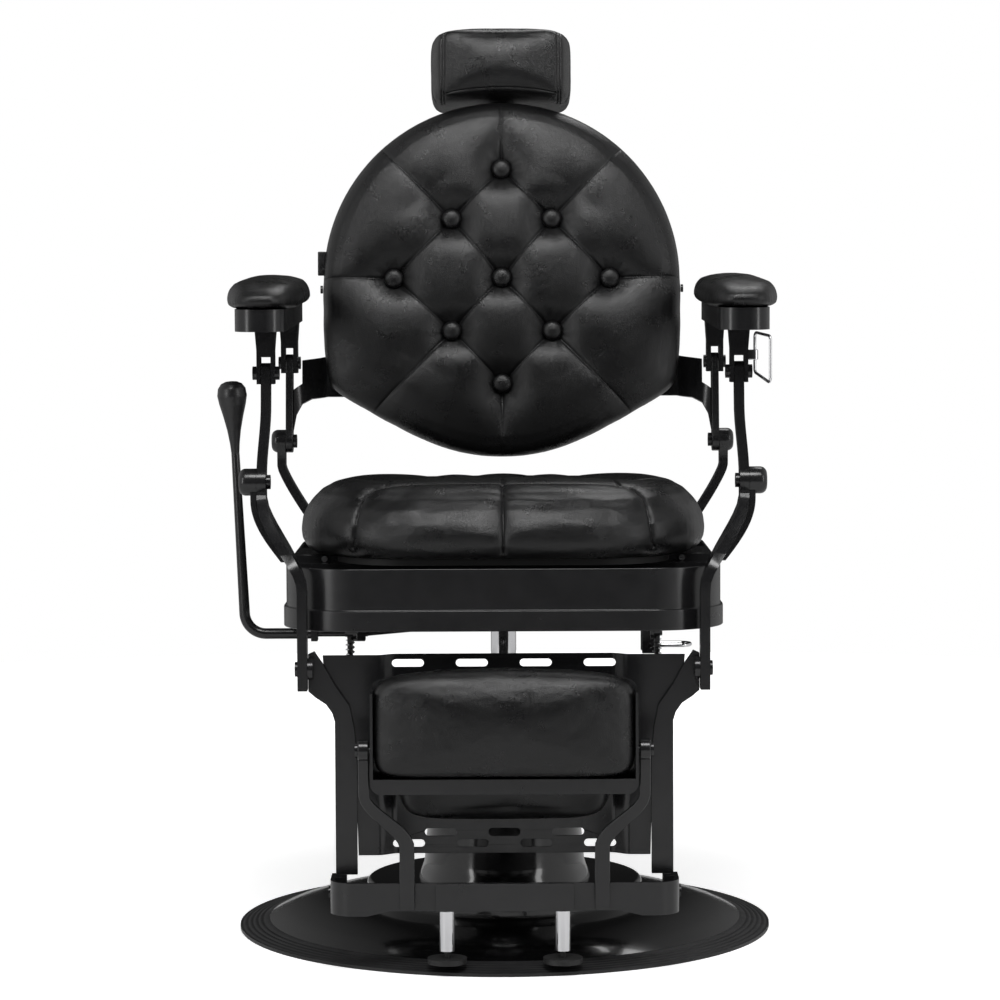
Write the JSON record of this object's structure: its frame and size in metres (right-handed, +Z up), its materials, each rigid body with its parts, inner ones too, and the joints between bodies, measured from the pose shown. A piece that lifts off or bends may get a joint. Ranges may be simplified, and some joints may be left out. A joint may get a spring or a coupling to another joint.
{
  "type": "barber chair",
  "caption": "Round-based hydraulic barber chair with a tufted round back, headrest, padded armrests and a linked leg rest with a flip-up foot pad, all in black with chrome details.",
  "frame": {"origin": "centre of the round base's underside, on the floor and on the swivel axis", "axes": "+Z up along the swivel axis, -Y toward the front of the chair and the leg rest, +X toward the side with the towel ring, at the sitter's left hand"},
  "size_m": [0.6727, 0.6976, 1.1113],
  "materials": {
    "black_metal": "satin",
    "gloss_black_metal": "gloss",
    "black_leather": "satin, fine creases",
    "chrome": "polished",
    "steel": "machined",
    "rim_rubber": "ribbed, matte",
    "glide_rubber": "matte",
    "board_wood": "plywood, painted black",
    "grip_plastic": "gloss",
    "cast_iron": "bare"
  },
  "bodies": {
    "base": {"base_rim": "rim_rubber", "base_plate": "black_metal", "base_dome": "gloss_black_metal", "pump_cylinder": "cast_iron", "pump_cover": "gloss_black_metal", "pump_collar": "gloss_black_metal"},
    "ram": {"ram": "chrome", "ram_head": "steel", "swivel_bearing": "steel"},
    "seat": {"seat_skirt": "black_metal", "seat_crossbars": "black_metal", "seat_rails": "black_metal", "swivel_socket": "steel", "seat_board": "board_wood", "seat_cushion": "black_leather", "front_uprights": "black_metal", "rear_uprights": "black_metal", "upright_screws": "steel", "front_pivot_pins": "black_metal", "rear_pivot_pins": "black_metal", "link_brackets": "black_metal", "lever_bearings": "black_metal", "release_bracket": "black_metal"},
    "hand_lever": {"hand_lever": "black_metal", "hand_lever_grip": "grip_plastic"},
    "release_handle": {"release_handle": "chrome"},
    "back": {"back_bars": "black_metal", "back_strap": "black_metal", "back_board": "board_wood", "back_shell": "black_metal", "back_cushion": "black_leather", "back_buttons": "black_leather", "back_bolts": "black_metal", "headrest_socket": "black_metal"},
    "headrest": {"headrest_post": "black_metal", "headrest_cushion": "black_leather"},
    "armrest_left": {"armrest_left_plate": "black_metal", "armrest_left_posts": "black_metal", "armrest_left_pad": "black_leather"},
    "armrest_right": {"armrest_right_plate": "black_metal", "armrest_right_posts": "black_metal", "armrest_right_pad": "black_leather", "ring_eye": "chrome"},
    "towel_ring": {"towel_ring": "chrome"},
    "front_levers": {"front_levers": "black_metal", "lever_top_pins": "black_metal"},
    "leg_rest": {"calf_side_plates": "black_metal", "calf_panel": "black_metal", "calf_cushion": "black_leather", "slot_guides": "black_metal", "foot_strap": "black_metal", "foot_plate": "black_metal", "foot_arms": "black_metal", "foot_posts": "chrome"},
    "calf_links": {"calf_links": "black_metal", "link_springs": "chrome"},
    "foot_glide_left": {"foot_glide_left": "glide_rubber"},
    "foot_glide_right": {"foot_glide_right": "glide_rubber"},
    "flip_pad": {"flip_tray": "black_metal", "flip_cushion": "black_leather"}
  },
  "joints": [
    {"name": "ram_lift", "type": "slide", "parent": "base", "child": "ram", "axis": [0, 0, 1], "range_m": [0, 0.15]},
    {"name": "seat_swivel", "type": "hinge", "parent": "ram", "child": "seat", "pos_m": [0, 0, 0.43], "axis": [0, 0, 1], "continuous": true},
    {"name": "back_recline", "type": "hinge", "parent": "seat", "child": "back", "pos_m": [0, 0.16, 0.5875], "axis": [-1, 0, 0], "range_deg": [0, 40]},
    {"name": "headrest_slide", "type": "slide", "parent": "back", "child": "headrest", "axis": [0, 0.1392, 0.9903], "range_m": [0, 0.09]},
    {"name": "armrest_left_pivot", "type": "hinge", "parent": "back", "child": "armrest_left", "pos_m": [-0.2705, 0.17392, 0.68653], "axis": [-1, 0, 0], "range_deg": [-39, 0]},
    {"name": "armrest_right_pivot", "type": "hinge", "parent": "back", "child": "armrest_right", "pos_m": [0.2705, 0.17392, 0.68653], "axis": [-1, 0, 0], "range_deg": [-39, 0]},
    {"name": "towel_ring_swing", "type": "hinge", "parent": "armrest_right", "child": "towel_ring", "pos_m": [0.298, -0.13205, 0.7], "axis": [0, 0, 1], "range_deg": [-20, 70]},
    {"name": "front_lever_pivot", "type": "hinge", "parent": "seat", "child": "front_levers", "pos_m": [0, -0.15, 0.554], "axis": [-1, 0, 0], "range_deg": [0, 30]},
    {"name": "leg_rest_pivot", "type": "hinge", "parent": "front_levers", "child": "leg_rest", "pos_m": [0, -0.26, 0.345], "axis": [-1, 0, 0], "range_deg": [0, 20]},
    {"name": "calf_link_pivot", "type": "hinge", "parent": "seat", "child": "calf_links", "pos_m": [0, -0.22, 0.384], "axis": [-1, 0, 0], "range_deg": [0, 85.6]},
    {"name": "flip_pad_pivot", "type": "hinge", "parent": "leg_rest", "child": "flip_pad", "pos_m": [0, -0.338, 0.262], "axis": [1, 0, 0], "range_deg": [0, 100]},
    {"name": "foot_glide_left_screw", "type": "slide", "parent": "leg_rest", "child": "foot_glide_left", "axis": [0, 0, 1], "range_m": [0, 0.008]},
    {"name": "foot_glide_right_screw", "type": "slide", "parent": "leg_rest", "child": "foot_glide_right", "axis": [0, 0, 1], "range_m": [0, 0.008]},
    {"name": "hand_lever_pivot", "type": "hinge", "parent": "seat", "child": "hand_lever", "pos_m": [0, -0.03, 0.362], "axis": [1, 0, 0], "range_deg": [-20, 30]},
    {"name": "release_handle_pivot", "type": "hinge", "parent": "seat", "child": "release_handle", "pos_m": [0.171, -0.165, 0.362], "axis": [0, -1, 0], "range_deg": [0, 15]}
  ],
  "couplings": [
    {"joint": "armrest_left_pivot", "follows": "back_recline", "ratio": -0.974},
    {"joint": "armrest_right_pivot", "follows": "back_recline", "ratio": -0.974},
    {"joint": "front_lever_pivot", "follows": "back_recline", "ratio": 0.75},
    {"joint": "leg_rest_pivot", "follows": "back_recline", "ratio": 0.5},
    {"joint": "calf_link_pivot", "follows": "back_recline", "ratio": 2.14}
  ]
}
